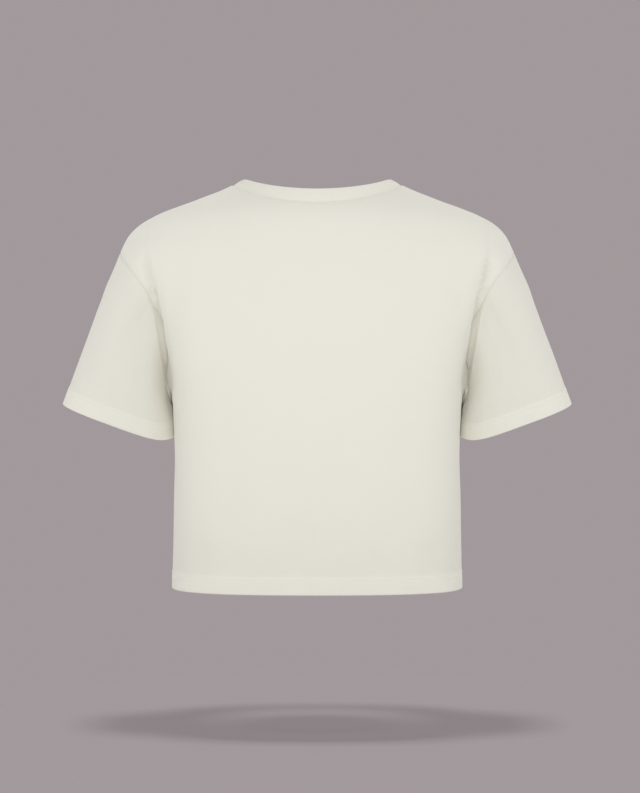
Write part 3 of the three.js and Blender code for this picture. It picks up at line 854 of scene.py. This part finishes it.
def level_line(cloth, height, lift):
    """The line over a cloth at a height above its open edge, lifted off it."""
    row = np.searchsorted(cloth.levels, height) - 1
    t = (height - cloth.levels[row]) / (cloth.levels[row + 1] - cloth.levels[row])
    points = cloth.points[row] * (1 - t) + cloth.points[row + 1] * t
    return points + cloth.normals[row] * lift


BAND_ROWS = 12
BAND_COLUMNS = 2016
BAND_TOP_TURNS = 8


def band_line(side, share, edge):
    """The neckband's lower or top edge at +X, from the centre line to its side."""
    if edge == "low":
        return neckline(side, share)
    turn = math.pi / 2 * share
    drop, ease, inset = BAND_TOP_DROP[side]
    z = BAND_TOP_SIDE_Z - drop * np.maximum(np.cos(turn), 0) ** ease
    z = z - BAND_TOP_ROUND * np.sin(turn) ** BAND_TOP_CORNER
    x = BAND_TOP_HALF_WIDTH * np.sin(turn)
    y = side * np.abs(neckline(side, share)[:, 1]) * inset
    return np.stack([x, y, z], axis=-1)


def band_ring(edge):
    """A whole edge of the neckband, from +X over the back to -X and over the front again."""
    quarter = BAND_COLUMNS // 4
    share = np.arange(quarter + 1) / quarter
    back, front = band_line(1, share, edge), band_line(-1, share, edge)
    mirror = (-1, 1, 1)
    return np.concatenate([back[::-1], back[1:] * mirror, front[-2::-1] * mirror, front[1:-1]])


def band_grid(creases, seam_depth):
    """The folded neckband's section carried round the neck, and how ribbed each row is."""
    low, top = band_ring("low"), band_ring("top")
    lift = creases * crease_lift(low) - seam_depth * NECK_SEAM_SHARE
    low = low + outward(low) * lift[:, None]
    rising = unit(top - low)
    along = unit(np.roll(low + top, -1, axis=0) - np.roll(low + top, 1, axis=0))
    out = unit(np.cross(along, rising))
    share = np.linspace(0, 1, BAND_ROWS)[:, None, None]
    belly = BAND_BELLY * np.sin(math.pi * share)
    thick = 2 * RIB_WALL
    high = top - rising * thick / 2
    outer = low + share * (high - low) + out * belly
    turns = math.pi * np.arange(1, BAND_TOP_TURNS) / BAND_TOP_TURNS
    fold = [high + (out * (math.cos(a) - 1) + rising * math.sin(a)) * thick / 2 for a in turns]
    inner = outer[::-1] - out * thick
    grid = np.concatenate([outer, fold, inner])
    ribbed = np.sin(np.linspace(0, math.pi, len(grid))) ** RIB_ENDS
    return grid, ribbed


# ---------------------------------------------------------------- materials

WALE = 0.00092  # width of one column of knit stitches
COURSE = 0.0007  # height of one row of them
CREAM = (0.81, 0.795, 0.719, 1)
CREAM_WARM = (0.8, 0.782, 0.698, 1)
# the thread's colour, paler than the cloth: partly its own, partly a painted highlight along the hems'
# stitch rows
THREAD_CREAM_AND_HIGHLIGHT = (0.94, 0.93, 0.87, 1)
KNITS = {  # each knit's relief, its fuzz, and how pale it is; the sleeves' darker copy of the jersey is painted shade
    "plain_jersey": (0.5, 0.35, 1.0),
    # the sleeves' jersey is the body's jersey made darker: painted shade
    "sleeve_jersey": (0.5, 0.35, 0.955),
    "rib_knit": (0.6, 0.3, 0.965),
}
KNIT_SLANT = 1.4  # how steeply the legs of each stitch slant
KNIT_LOOP = (0.25, 0.75)  # how much a stitch's height varies along it, and its middle
KNIT_RELIEF = 0.00012
KNIT_SHADE = 0.12  # painted shade between its stitches: how much darker the cloth is there
KNIT_DARK = (0.8, 0.78, 0.73)  # that painted shade's tone as a share of the cloth's
FUZZ_NOISE = {"Scale": 2600.0, "Detail": 3.0}
DYE_NOISE = {"Scale": 55.0, "Detail": 4.0}
KNIT_SURFACE = {
    "Roughness": 0.92, "Specular IOR Level": 0.2, "Sheen Weight": 0.18, "Sheen Roughness": 0.45}
THREAD_NOISE = {"Scale": 3200.0, "Detail": 2.0}
THREAD_TWIST = {"Scale": 900.0, "Distortion": 2.0}
THREAD_BAND_TONE = (0.92, 0.91, 0.88)  # its darker bands along the twist as a share of its colour
THREAD_RELIEF = {"Strength": 0.4, "Distance": 0.0001}
THREAD_SURFACE = {"Roughness": 0.7, "Sheen Weight": 0.15}
HEM_PALER_AND_LIT = 1.045  # how much paler the hems are: partly the doubled cloth's own tone, partly painted light making up for the light that the floor keeps from them
DOUBLED_ENDS = (0.04, 0.041)  # distances over the cloth, from its raw edge, where a hem ends


def shader(name, finish):
    """A new material, its tree, and its Principled shader with the values of its finish."""
    material = bpy.data.materials.new(name)
    material.use_nodes = True
    tree = material.node_tree
    tree.nodes.clear()
    surface = put(tree, "ShaderNodeBsdfPrincipled", finish)
    out = tree.nodes.new("ShaderNodeOutputMaterial")
    tree.links.new(surface.outputs[0], out.inputs["Surface"])
    return material, tree, surface


def darker(colour, shares):
    """A colour with each of its channels brought down to a share."""
    return (*(channel * share for channel, share in zip(colour, shares)), 1)


def blend_colours(tree, share, first, second):
    """The colour between two colours."""
    return put(tree, "ShaderNodeMix", {0: share, 6: first, 7: second}, data_type="RGBA").outputs[2]


def knit_material(name, bump, fuzz, tone):
    """Fine single jersey: columns of V-shaped stitches with painted shade between them, a little fuzz,
    uneven dyeing, and hems made paler, partly as doubled cloth and partly as painted light.
    """
    material, tree, surface = shader(name, KNIT_SURFACE)
    place = put(tree, "ShaderNodeUVMap", uv_map="cloth").outputs[0]
    parts = put(tree, "ShaderNodeSeparateXYZ", {"Vector": place})
    wale = sum_up(tree, "FRACT", sum_up(tree, "DIVIDE", parts.outputs[0], WALE))
    beside = sum_up(tree, "ABSOLUTE", sum_up(tree, "SUBTRACT", wale, 0.5))
    leg = sum_up(tree, "SINE", sum_up(tree, "MULTIPLY", beside, math.tau))
    course = sum_up(tree, "ADD", sum_up(tree, "DIVIDE", parts.outputs[1], COURSE),
                    sum_up(tree, "MULTIPLY", beside, KNIT_SLANT))
    loop = sum_up(tree, "SINE", sum_up(tree, "MULTIPLY", course, math.tau))
    loop = sum_up(tree, "MULTIPLY_ADD", loop, *KNIT_LOOP)
    stitch = sum_up(tree, "MULTIPLY", leg, loop)
    fibre = put(tree, "ShaderNodeTexNoise", {"Vector": place, **FUZZ_NOISE})
    height = sum_up(tree, "MULTIPLY_ADD", fibre.outputs[0], fuzz, stitch)
    cloud = put(tree, "ShaderNodeTexNoise", {"Vector": place, **DYE_NOISE})
    dyed = blend_colours(tree, cloud.outputs[0], CREAM, CREAM_WARM)
    # painted shade in the valleys between the stitches
    valley = sum_up(tree, "SUBTRACT", 1.0, stitch)
    shade = sum_up(tree, "MULTIPLY", valley, KNIT_SHADE)
    dark = darker(CREAM, KNIT_DARK)
    # hems paler: partly doubled cloth, partly painted light
    pale = put(tree, "ShaderNodeMapRange", {
        "Value": parts.outputs[1], "From Min": DOUBLED_ENDS[0], "From Max": DOUBLED_ENDS[1],
        "To Min": HEM_PALER_AND_LIT * tone, "To Max": tone})
    toned = scaled(tree, blend_colours(tree, shade, dyed, dark), pale.outputs[0])
    tree.links.new(toned, surface.inputs["Base Color"])
    relief = put(tree, "ShaderNodeBump", {"Height": height, "Strength": bump, "Distance": KNIT_RELIEF})
    tree.links.new(relief.outputs[0], surface.inputs["Normal"])
    return material


def thread_material(name):
    """Spun sewing thread: its twist shows as fine slanting bands."""
    material, tree, surface = shader(name, THREAD_SURFACE)
    place = tree.nodes.new("ShaderNodeTexCoord").outputs["Object"]
    fibre = put(tree, "ShaderNodeTexNoise", {"Vector": place, **THREAD_NOISE})
    twist = put(tree, "ShaderNodeTexWave", {"Vector": place, **THREAD_TWIST},
                bands_direction="DIAGONAL")
    height = sum_up(tree, "ADD", fibre.outputs[0], twist.outputs["Fac"])
    # thread paler than the cloth, partly as a painted highlight on the stitch rows
    banded = blend_colours(tree, twist.outputs["Fac"], THREAD_CREAM_AND_HIGHLIGHT, darker(THREAD_CREAM_AND_HIGHLIGHT, THREAD_BAND_TONE))
    tree.links.new(banded, surface.inputs["Base Color"])
    relief = put(tree, "ShaderNodeBump", {"Height": height, **THREAD_RELIEF})
    tree.links.new(relief.outputs[0], surface.inputs["Normal"])
    return material


def made_material(name):
    """One of the shirt's materials, made the first time that it is asked for."""
    if name in bpy.data.materials:
        return bpy.data.materials[name]
    if name == "sewing_thread":
        return thread_material(name)
    return knit_material(name, *KNITS[name])


SHADOW_OVAL = (1, 1.4, 1)  # how much narrower the oval of painted shadow under the shirt is through its depth
FLOOR_PAINTED_SHADOW = (0.06, 0.16, 0.25)  # that painted shadow's full and faint radius, and what light the floor sends back at its middle


def floor_material(name, tone, glow, near, far):
    """A pale floor with a painted shadow right under the shirt, gone further out, and clear from
    underneath.
    """
    material, tree, surface = shader(name, {
        "Emission Color": (*glow, 1), "Emission Strength": 1, "Roughness": 1, "Specular IOR Level": 0})
    place = tree.nodes.new("ShaderNodeTexCoord").outputs["Object"]
    # painted shadow: in an oval right under the shirt the floor sends back less light
    oval = put(tree, "ShaderNodeVectorMath", {0: place, 1: SHADOW_OVAL}, operation="MULTIPLY").outputs[0]
    inside = put(tree, "ShaderNodeVectorMath", {0: oval}, operation="LENGTH").outputs["Value"]
    share = put(tree, "ShaderNodeMapRange", {
        "Value": inside, "From Min": FLOOR_PAINTED_SHADOW[0], "From Max": FLOOR_PAINTED_SHADOW[1], "To Min": FLOOR_PAINTED_SHADOW[2]},
        interpolation_type="SMOOTHSTEP").outputs[0]
    tree.links.new(scaled(tree, tone, share), surface.inputs["Base Color"])
    away = put(tree, "ShaderNodeVectorMath", {0: place}, operation="LENGTH").outputs["Value"]
    fade = put(tree, "ShaderNodeMapRange", {"Value": away, "From Min": near, "From Max": far},
               interpolation_type="SMOOTHSTEP").outputs[0]
    under = tree.nodes.new("ShaderNodeNewGeometry").outputs["Backfacing"]
    clear = put(tree, "ShaderNodeBsdfTransparent")
    mix = put(tree, "ShaderNodeMixShader", {
        0: sum_up(tree, "MAXIMUM", fade, under), 1: surface.outputs[0], 2: clear.outputs[0]})
    out = next(node for node in tree.nodes if node.type == "OUTPUT_MATERIAL")
    tree.links.new(mix.outputs[0], out.inputs["Surface"])
    return material


# ---------------------------------------------------------------- pieces


def sew_up(node, cloth, settings, knit):
    """Makes a panel or sleeve with its hem turned up, as a hung sheet in place of its CAD node."""
    wall = settings.wall / MM
    piece = grid_mesh(f"{node}_cloth", turn_up(cloth, wall), made_material(knit))
    add_wall(piece, wall)
    finish_piece(piece, (node,))


def allowance_strips(settings):
    """Every overlocked allowance: its name, the cloth it lies in, and where it lies there."""
    back, front = (shaped("panel", side, settings) for side in (1, -1))
    low, underarm, spare = HEM_ROWS, HEM_ROWS + SIDE_ROWS, ALLOWANCE_SPARE
    upper = slice(underarm, None)
    neck = slice(SHOULDER_STEPS, SHOULDER_STEPS + 2 * NECK_STEPS + 1)
    near, far = slice(spare, SHOULDER_STEPS - spare), slice(spare - SHOULDER_STEPS, -spare)
    strips = []
    for hand, word, edge, shoulder in ((1, "left", "first", near), (-1, "right", "last", far)):
        side = (back, edge, slice(low, underarm - spare), slice(None))
        armhole = (shaped("sleeve", hand, settings), "top", slice(low, None), slice(0, -1))
        strips.append((f"side_seam_{word}", [side]))
        strips.append((f"shoulder_seam_{word}", [(back, "top", upper, shoulder)]))
        strips.append((f"armhole_seam_{word}", [armhole]))
    strips.append(("neck_seam", [(cloth, "top", upper, neck) for cloth in (back, front)]))
    return strips


def joined_strip(places, depth):
    """A strip's grid, carried on round a second panel where the seam crosses both."""
    grids = [strip_inside(*place, depth) for place in places]
    if len(grids) == 1:
        return grids[0]
    return np.concatenate([grids[0][:, :-1], grids[1][:, :-1]], axis=1)


def make_seams(settings, stitching):
    """The allowances inside every seam, with the overlocking over their edges."""
    depth = settings.wall / MM + ALLOWANCE_CLEAR
    lines = []
    for name, places in allowance_strips(settings):
        ring = name.startswith(("armhole", "neck"))
        piece = grid_mesh(name, joined_strip(places, depth), made_material("plain_jersey"), around=ring)
        add_wall(piece, RIB_WALL)
        finish_piece(piece)
        inner = joined_strip(places, depth + RIB_WALL + OVERLOCK_CLEAR)
        if places[0][1] != "top":
            inner = np.swapaxes(inner, 0, 1)
        lines.append(zigzag(inner[0], inner[-1], stitching.overlock_step / MM, ring))
    threads = grow(path_mesh("overlock_threads", lines), thread_nodes(),
                   {"Thread": stitching.thread, "Material": made_material("sewing_thread")})
    finish_piece(threads)


def make_neckband(settings, rib):
    """The ribbed neckband, folded over and closed into a ring."""
    grid, ribbed = band_grid(settings.creases, settings.seam_depth / MM)
    piece = grid_mesh("neckband_rib", grid, made_material("rib_knit"), around=True, over=True)
    columns = grid.shape[1]
    around = np.tile(np.arange(columns) / columns, len(grid))
    for name, values in (("around", around), ("ribbing", np.repeat(ribbed, columns))):
        layer = piece.data.attributes.new(name, "FLOAT", "POINT")
        layer.data.foreach_set("value", values.astype(np.float32))
    grow(piece, rib_nodes(), {"Ribs": float(rib.ribs), "Depth": rib.depth,
                              "Material": made_material("rib_knit")})
    finish_piece(piece, ("neckband",))
    return piece


def make_stitches(settings, stitching):
    """The two rows of needle stitches on each hem, and the loopers behind them."""
    clothes = {
        "hem": [shaped("panel", side, settings) for side in (1, -1)],
        "sleeve_hem": [shaped("sleeve", hand, settings) for hand in (1, -1)],
    }
    behind = -2 * (settings.wall / MM + HEM_GAP / 2) - LOOPER_CLEAR
    for name, group in clothes.items():
        rows = [level_line(cloth, row, STITCH_LIFT) for cloth in group for row in STITCH_ROWS]
        stitches = grow(path_mesh(f"{name}_stitches", rows), stitch_nodes(), {
            "Pitch": stitching.pitch, "Length": stitching.length, "Thread": stitching.thread,
            "Material": made_material("sewing_thread")})
        finish_piece(stitches)
        loops = [zigzag(*(level_line(cloth, row, behind) for row in STITCH_ROWS), stitching.pitch / MM)
                 for cloth in group]
        loopers = grow(path_mesh(f"{name}_loopers", loops), thread_nodes(), {
            "Thread": stitching.thread, "Material": made_material("sewing_thread")})
        finish_piece(loopers)


# ---------------------------------------------------------------- studio

FLOOR_Z = -0.614
FLOOR_RINGS, FLOOR_SPOKES = 12, 96  # rings and spokes of points in the floor's disc
BACKDROP_TONE = (0.362, 0.319, 0.332)
SHIRT_MIDDLE = (0, 0, -0.23)
LIGHTS = {  # each light's place, what it points at, and its width and height
    "key": ((0.0, 2.9, -0.9), SHIRT_MIDDLE, (2.4, 2.4)),
    "fill": ((0.0, -2.9, -0.9), SHIRT_MIDDLE, (2.4, 2.4)),
    "overhead": ((0.0, 0.1, 3.4), (0, 0, FLOOR_Z), (0.45, 0.5)),
}
SENSOR_WIDTH = 36  # millimetres


def add_light(name, place, aim, size, power):
    """A soft light pointing at a place, that the camera doesn't see."""
    data = bpy.data.lights.new(name, "AREA")
    data.shape = "RECTANGLE"
    data.size, data.size_y = size
    data.energy = power
    light = add_object(name, data)
    light.location = place
    light.rotation_euler = (Vector(aim) - Vector(place)).to_track_quat("-Z", "Y").to_euler()
    light.visible_camera = False
    return light


def collection_of(name, pieces):
    """A collection outside the scene that lists pieces for a light."""
    collection = bpy.data.collections.new(name)
    for piece in pieces:
        collection.objects.link(piece)
    return collection


def make_studio(settings):
    """A floor with a painted shadow under the shirt, an even surround, soft lights and the camera."""
    radius = np.linspace(0, 1.0, FLOOR_RINGS)[:, None]
    turn = math.tau * np.arange(FLOOR_SPOKES) / FLOOR_SPOKES
    grid = np.stack([radius * np.cos(turn), radius * np.sin(turn), 0 * radius + 0 * turn], axis=-1)
    material = floor_material("studio_floor", tuple(settings.floor_tone), tuple(settings.floor_glow),
                              settings.floor_near, settings.floor_far)
    floor = grid_mesh("studio_floor", grid[::-1] / MM, material, around=True)
    floor.location.z = FLOOR_Z
    lights = {name: add_light(name, *setting, getattr(settings, name)) for name, setting in LIGHTS.items()}
    panels = [bpy.data.objects[name] for name in ("back_panel_cloth", "front_panel_cloth")]
    linking = lights["overhead"].light_linking
    linking.receiver_collection = collection_of("floor_only", [floor])
    linking.blocker_collection = collection_of("body_only", panels)
    scene = bpy.context.scene
    world = bpy.data.worlds.new("studio_surround")
    world.use_nodes = True
    world.node_tree.nodes.clear()
    seen = put(world.node_tree, "ShaderNodeBackground", {"Color": (*BACKDROP_TONE, 1)})
    even = put(world.node_tree, "ShaderNodeBackground", {"Strength": settings.even})
    ray = put(world.node_tree, "ShaderNodeLightPath").outputs["Is Camera Ray"]
    mix = put(world.node_tree, "ShaderNodeMixShader", {0: ray, 1: even.outputs[0], 2: seen.outputs[0]})
    put(world.node_tree, "ShaderNodeOutputWorld", {"Surface": mix.outputs[0]})
    scene.world = world
    scene.view_settings.view_transform = "Standard"
    data = bpy.data.cameras.new("camera")
    data.sensor_width = SENSOR_WIDTH
    data.lens = settings.lens
    data.shift_x = settings.shift
    camera = add_object("camera", data)
    camera.location = (0, settings.distance, settings.height)
    camera.rotation_euler = (math.pi / 2, 0, math.pi)
    scene.camera = camera


# ---------------------------------------------------------------- add-on

class SHIRT_PG_cloth(bpy.types.PropertyGroup):
    """How the jersey hangs and is sewn."""

    wall: FloatProperty(
        name="Jersey", description="Thickness of one layer of jersey", default=0.0011, unit="LENGTH")
    creases: FloatProperty(
        name="Creases", description="Depth of the creases, where 1 is as worn", default=1.0)
    hem_lift: FloatProperty(
        name="Hem lift", description="How far the doubled hems stand proud", default=0.0005,
        unit="LENGTH")
    seam_depth: FloatProperty(
        name="Seam depth", description="How far the cloth is drawn in at a seam", default=0.0013,
        unit="LENGTH")


class SHIRT_PG_stitching(bpy.types.PropertyGroup):
    """Sizes of the stitches."""

    pitch: FloatProperty(
        name="Pitch", description="From one needle stitch to the next", default=0.0028, unit="LENGTH")
    length: FloatProperty(
        name="Length", description="Length of a needle stitch", default=0.0025, unit="LENGTH")
    thread: FloatProperty(
        name="Thread", description="Thickness of the thread", default=0.0005, unit="LENGTH")
    overlock_step: FloatProperty(
        name="Overlock step", description="From one side of the overlocking to the other",
        default=0.0017, unit="LENGTH")


class SHIRT_PG_rib(bpy.types.PropertyGroup):
    """The rib knit of the neckband."""

    ribs: IntProperty(name="Ribs", description="Ribs all the way round the neckband", default=288)
    depth: FloatProperty(
        name="Depth", description="Half the height of a rib over its groove", default=0.00018,
        unit="LENGTH")


class SHIRT_PG_studio(bpy.types.PropertyGroup):
    """The camera, lights and floor."""

    distance: FloatProperty(
        name="Distance", description="Camera to the shirt's middle", default=2.4, unit="LENGTH")
    height: FloatProperty(
        name="Height", description="Height of the camera in the shirt's frame", default=-0.241,
        unit="LENGTH")
    lens: FloatProperty(name="Lens", description="Focal length in mm", default=95.9)
    shift: FloatProperty(name="Shift", description="Sideways shift of the lens", default=0.0034)
    key: FloatProperty(name="Key", description="Power of the light behind the camera", default=20)
    fill: FloatProperty(name="Fill", description="Power of the light on the front", default=20)
    overhead: FloatProperty(name="Overhead", description="Power of the light on the floor", default=320)
    even: FloatProperty(name="Even light", description="Light from all round", default=1.1)
    floor_tone: FloatVectorProperty(
        name="Floor tone", description="How much light the floor sends back", default=(0.05, 0.044, 0.046))
    floor_glow: FloatVectorProperty(
        name="Floor glow", description="The floor's even tone under its shadow",
        default=(0.225, 0.1985, 0.2065))
    floor_near: FloatProperty(
        name="Floor near", description="Radius inside which the floor is plain", default=0.36,
        unit="LENGTH")
    floor_far: FloatProperty(
        name="Floor far", description="Radius outside which the floor is gone", default=0.6,
        unit="LENGTH")


class SHIRT_OT_back_panel(bpy.types.Operator):
    """Make the back panel with its turned hem"""

    bl_idname = "shirt.back_panel"
    bl_label = "Back panel"

    def execute(self, context):
        settings = context.scene.shirt_cloth
        sew_up("back_panel", shaped("panel", 1, settings), settings, "plain_jersey")
        return {"FINISHED"}


class SHIRT_OT_front_panel(bpy.types.Operator):
    """Make the front panel with its turned hem"""

    bl_idname = "shirt.front_panel"
    bl_label = "Front panel"

    def execute(self, context):
        settings = context.scene.shirt_cloth
        sew_up("front_panel", shaped("panel", -1, settings), settings, "plain_jersey")
        return {"FINISHED"}


class SHIRT_OT_sleeves(bpy.types.Operator):
    """Make both short sleeves with their turned hems"""

    bl_idname = "shirt.sleeves"
    bl_label = "Sleeves"

    def execute(self, context):
        settings = context.scene.shirt_cloth
        for hand, word in ((1, "left"), (-1, "right")):
            # the sleeves take the darker copy of the jersey, which is painted shade
            sew_up(f"sleeve_{word}", shaped("sleeve", hand, settings), settings, "sleeve_jersey")
        return {"FINISHED"}


class SHIRT_OT_neckband(bpy.types.Operator):
    """Make the ribbed neckband"""

    bl_idname = "shirt.neckband"
    bl_label = "Neckband"

    def execute(self, context):
        scene = context.scene
        band = make_neckband(scene.shirt_cloth, scene.shirt_rib)
        return {"FINISHED"}


class SHIRT_OT_seams(bpy.types.Operator):
    """Make the overlocked allowances inside the seams"""

    bl_idname = "shirt.seams"
    bl_label = "Seams"

    def execute(self, context):
        make_seams(context.scene.shirt_cloth, context.scene.shirt_stitching)
        return {"FINISHED"}


class SHIRT_OT_stitches(bpy.types.Operator):
    """Make the stitches of the hems"""

    bl_idname = "shirt.stitches"
    bl_label = "Hem stitches"

    def execute(self, context):
        make_stitches(context.scene.shirt_cloth, context.scene.shirt_stitching)
        return {"FINISHED"}


class SHIRT_OT_studio(bpy.types.Operator):
    """Make the floor, the lights and the camera"""

    bl_idname = "shirt.studio"
    bl_label = "Studio"

    def execute(self, context):
        make_studio(context.scene.shirt_studio)
        return {"FINISHED"}


GROUPS = {
    "shirt_cloth": SHIRT_PG_cloth,
    "shirt_stitching": SHIRT_PG_stitching,
    "shirt_rib": SHIRT_PG_rib,
    "shirt_studio": SHIRT_PG_studio,
}
OPERATORS = (
    SHIRT_OT_back_panel, SHIRT_OT_front_panel, SHIRT_OT_sleeves, SHIRT_OT_neckband,
    SHIRT_OT_seams, SHIRT_OT_stitches, SHIRT_OT_studio,
)


class SHIRT_PT_sidebar(bpy.types.Panel):
    """The shirt's settings and makers in the sidebar"""

    bl_label = "T-shirt"
    bl_idname = "SHIRT_PT_sidebar"
    bl_space_type = "VIEW_3D"
    bl_region_type = "UI"
    bl_category = "T-shirt"

    def draw(self, context):
        for name, group in GROUPS.items():
            box = self.layout.box()
            box.label(text=group.__doc__)
            for setting in group.__annotations__:
                box.prop(getattr(context.scene, name), setting)
        for operator in OPERATORS:
            self.layout.operator(operator.bl_idname)


def register():
    for kind in (*GROUPS.values(), *OPERATORS, SHIRT_PT_sidebar):
        bpy.utils.register_class(kind)
    for name, group in GROUPS.items():
        setattr(bpy.types.Scene, name, PointerProperty(type=group))


def unregister():
    for name in GROUPS:
        delattr(bpy.types.Scene, name)
    for kind in reversed((*GROUPS.values(), *OPERATORS, SHIRT_PT_sidebar)):
        bpy.utils.unregister_class(kind)


def main():
    register()
    bpy.ops.shirt.back_panel()
    bpy.ops.shirt.front_panel()
    bpy.ops.shirt.sleeves()
    bpy.ops.shirt.neckband()
    bpy.ops.shirt.seams()
    bpy.ops.shirt.stitches()
    bpy.ops.shirt.studio()


if __name__ == "__main__":
    main()
